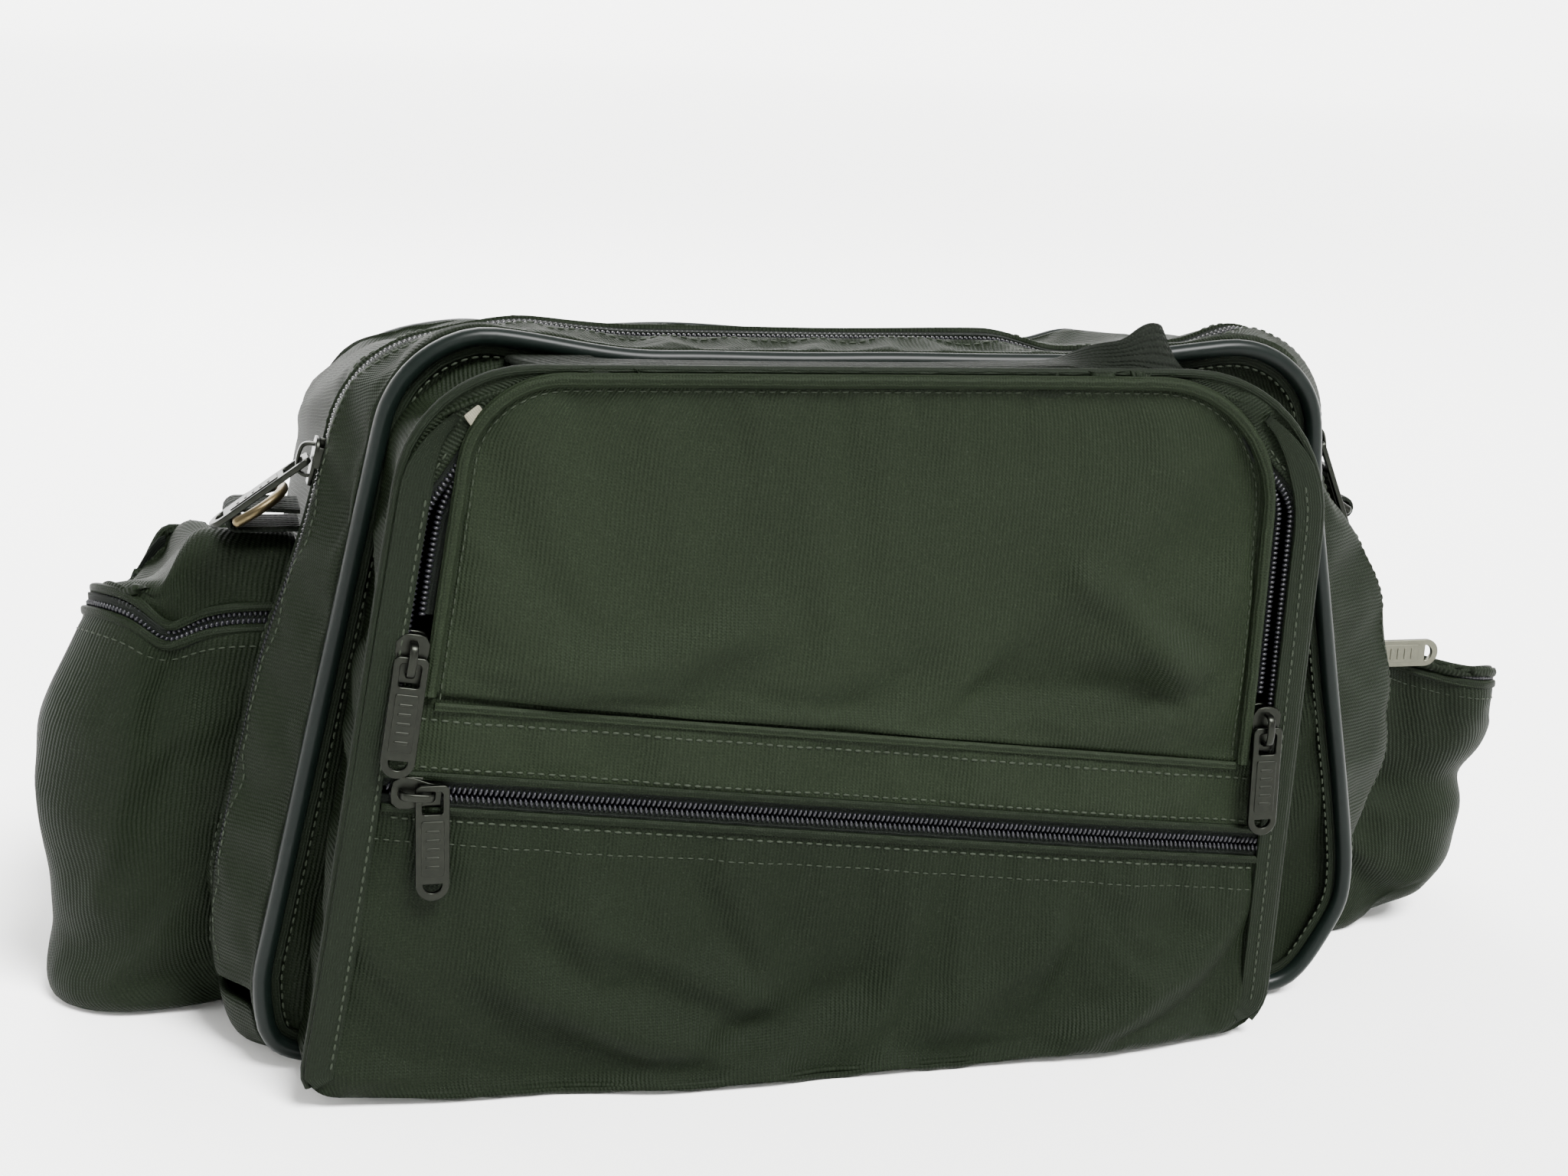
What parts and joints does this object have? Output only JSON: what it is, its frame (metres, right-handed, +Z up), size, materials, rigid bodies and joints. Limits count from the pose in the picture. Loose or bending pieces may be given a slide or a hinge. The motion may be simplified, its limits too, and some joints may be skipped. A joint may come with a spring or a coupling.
{
  "type": "flight bag",
  "caption": "Soft fabric flight bag with slanted ends, vinyl piping, a zipped front pocket and flap, end pockets, webbing handles and strap rings.",
  "frame": {"origin": "middle of the base, on the surface the bag stands on", "axes": "+Z up, -Y towards the front pocket, +X to the right seen from the front"},
  "size_m": [0.48, 0.2025, 0.219],
  "materials": {
    "fabric": "matt ribbed nylon",
    "lining": "matt tape and binding",
    "board": "matt board",
    "vinyl": "glossy vinyl",
    "coil": "satin nylon coil",
    "webbing": "woven webbing",
    "metal": "dull pewter plating",
    "label": "woven label"
  },
  "bodies": {
    "bag": {"back_panel": "fabric", "rear_gusset": "fabric", "base_board": "board", "rear_piping": "vinyl", "main_zip_rear_tape": "lining", "main_zip_rear_coil": "coil", "left_pocket_shell": "fabric", "right_pocket_shell": "fabric", "left_pocket_coil": "coil", "right_pocket_coil": "coil", "left_strap_lug": "webbing", "right_strap_lug": "webbing", "rear_handle_anchors": "webbing"},
    "front_door": {"front_panel": "fabric", "front_gusset": "fabric", "front_piping": "vinyl", "main_zip_front_tape": "lining", "main_zip_front_coil": "coil", "pocket_gusset": "fabric", "pocket_frame": "fabric", "pocket_bindings": "lining", "pocket_divider": "lining", "pocket_band": "fabric", "lower_panel": "fabric", "lower_zip_tapes": "lining", "lower_zip_coil": "coil", "flap_zip_outer_tape": "lining", "flap_zip_outer_coil": "coil", "pocket_label": "label", "front_handle_anchors": "webbing"},
    "pocket_flap": {"flap_panel": "fabric", "flap_piping": "fabric", "flap_zip_inner_tape": "lining", "flap_zip_inner_coil": "coil"},
    "flap_left_slider_body": {"flap_left_slider": "metal"},
    "flap_left_pull_body": {"flap_left_pull": "metal"},
    "flap_right_slider_body": {"flap_right_slider": "metal"},
    "flap_right_pull_body": {"flap_right_pull": "metal"},
    "lower_slider_body": {"lower_slider": "metal"},
    "lower_pull_body": {"lower_pull": "metal"},
    "main_left_slider_body": {"main_left_slider": "metal"},
    "main_left_pull_body": {"main_left_pull": "metal"},
    "main_right_slider_body": {"main_right_slider": "metal"},
    "main_right_pull_body": {"main_right_pull": "metal"},
    "left_pocket_slider_body": {"left_pocket_slider": "metal"},
    "left_pocket_pull_body": {"left_pocket_pull": "metal"},
    "right_pocket_slider_body": {"right_pocket_slider": "metal"},
    "right_pocket_pull_body": {"right_pocket_pull": "metal"},
    "left_strap_ring_body": {"left_strap_ring": "metal"},
    "right_strap_ring_body": {"right_strap_ring": "metal"},
    "front_handle_body": {"front_handle": "webbing"},
    "rear_handle_body": {"rear_handle": "webbing"},
    "left_lid": {"left_pocket_lid": "fabric", "left_lid_coil": "coil"},
    "right_lid": {"right_pocket_lid": "fabric", "right_lid_coil": "coil"}
  },
  "joints": [
    {"name": "front_door_fold", "type": "hinge", "parent": "bag", "child": "front_door", "pos_m": [0, -0.0788, 0.0012], "axis": [1, 0, 0], "range_deg": [0, 40]},
    {"name": "pocket_flap_fold", "type": "hinge", "parent": "front_door", "child": "pocket_flap", "pos_m": [0, -0.11, 0.105], "axis": [0.9936, 0, -0.1132], "range_deg": [0, 150]},
    {"name": "flap_left_zip", "type": "slide", "parent": "front_door", "child": "flap_left_slider_body", "axis": [0.1452, 0, 0.9894], "range_m": [0, 0.038]},
    {"name": "flap_left_pull_swing", "type": "hinge", "parent": "flap_left_slider_body", "child": "flap_left_pull_body", "pos_m": [-0.13537, -0.1131, 0.13281], "axis": [-0.9894, 0, 0.1452], "range_deg": [0, 160]},
    {"name": "flap_right_zip", "type": "slide", "parent": "front_door", "child": "flap_right_slider_body", "axis": [0, 0, 1], "range_m": [0, 0.06]},
    {"name": "flap_right_pull_swing", "type": "hinge", "parent": "flap_right_slider_body", "child": "flap_right_pull_body", "pos_m": [0.1222, -0.1131, 0.1029], "axis": [-1, 0, 0], "range_deg": [0, 160]},
    {"name": "lower_zip", "type": "slide", "parent": "front_door", "child": "lower_slider_body", "axis": [0.9936, 0, -0.1132], "range_m": [0, 0.235]},
    {"name": "lower_pull_swing", "type": "hinge", "parent": "lower_slider_body", "child": "lower_pull_body", "pos_m": [-0.12983, -0.1131, 0.09602], "axis": [0, -1, 0], "range_deg": [0, 20]},
    {"name": "main_left_zip", "type": "slide", "parent": "bag", "child": "main_left_slider_body", "axis": [0.212, 0, 0.9773], "range_m": [-0.136, 0]},
    {"name": "main_left_pull_swing", "type": "hinge", "parent": "main_left_slider_body", "child": "main_left_pull_body", "pos_m": [-0.1591, -0.0568, 0.17687], "axis": [0, 1, 0], "range_deg": [-42, 100]},
    {"name": "main_right_zip", "type": "slide", "parent": "bag", "child": "main_right_slider_body", "axis": [-0.212, 0, 0.9773], "range_m": [-0.136, 0]},
    {"name": "main_right_pull_swing", "type": "hinge", "parent": "main_right_slider_body", "child": "main_right_pull_body", "pos_m": [0.15824, -0.0568, 0.18087], "axis": [0, -1, 0], "range_deg": [-3, 120]},
    {"name": "left_lid_fold", "type": "hinge", "parent": "bag", "child": "left_lid", "pos_m": [-0.185, 0.01, 0.149], "axis": [0, 1, 0], "range_deg": [0, 80]},
    {"name": "right_lid_fold", "type": "hinge", "parent": "bag", "child": "right_lid", "pos_m": [0.191, 0.01, 0.116], "axis": [0, -1, 0], "range_deg": [0, 80]},
    {"name": "left_pocket_zip", "type": "slide", "parent": "bag", "child": "left_pocket_slider_body", "axis": [-1, 0, 0], "range_m": [0, 0.019]},
    {"name": "left_pocket_pull_swing", "type": "hinge", "parent": "left_pocket_slider_body", "child": "left_pocket_pull_body", "pos_m": [-0.1862, 0.0631, 0.1286], "axis": [0, 1, 0], "range_deg": [-15, 15]},
    {"name": "right_pocket_zip", "type": "slide", "parent": "bag", "child": "right_pocket_slider_body", "axis": [1, 0, 0], "range_m": [0, 0.02]},
    {"name": "right_pocket_pull_swing", "type": "hinge", "parent": "right_pocket_slider_body", "child": "right_pocket_pull_body", "pos_m": [0.187, -0.0431, 0.105], "axis": [0, 0, -1], "range_deg": [0, 55]},
    {"name": "left_ring_swing", "type": "hinge", "parent": "bag", "child": "left_strap_ring_body", "pos_m": [-0.178, -0.034, 0.156], "axis": [0, -1, 0], "range_deg": [0, 80]},
    {"name": "right_ring_swing", "type": "hinge", "parent": "bag", "child": "right_strap_ring_body", "pos_m": [0.178, -0.034, 0.156], "axis": [0, 1, 0], "range_deg": [0, 150]},
    {"name": "front_handle_lift", "type": "hinge", "parent": "front_door", "child": "front_handle_body", "pos_m": [0, -0.0864, 0.2104], "axis": [-1, 0, 0], "range_deg": [0, 90]},
    {"name": "rear_handle_lift", "type": "hinge", "parent": "bag", "child": "rear_handle_body", "pos_m": [0, 0.0844, 0.184], "axis": [1, 0, 0], "range_deg": [0, 165]}
  ]
}
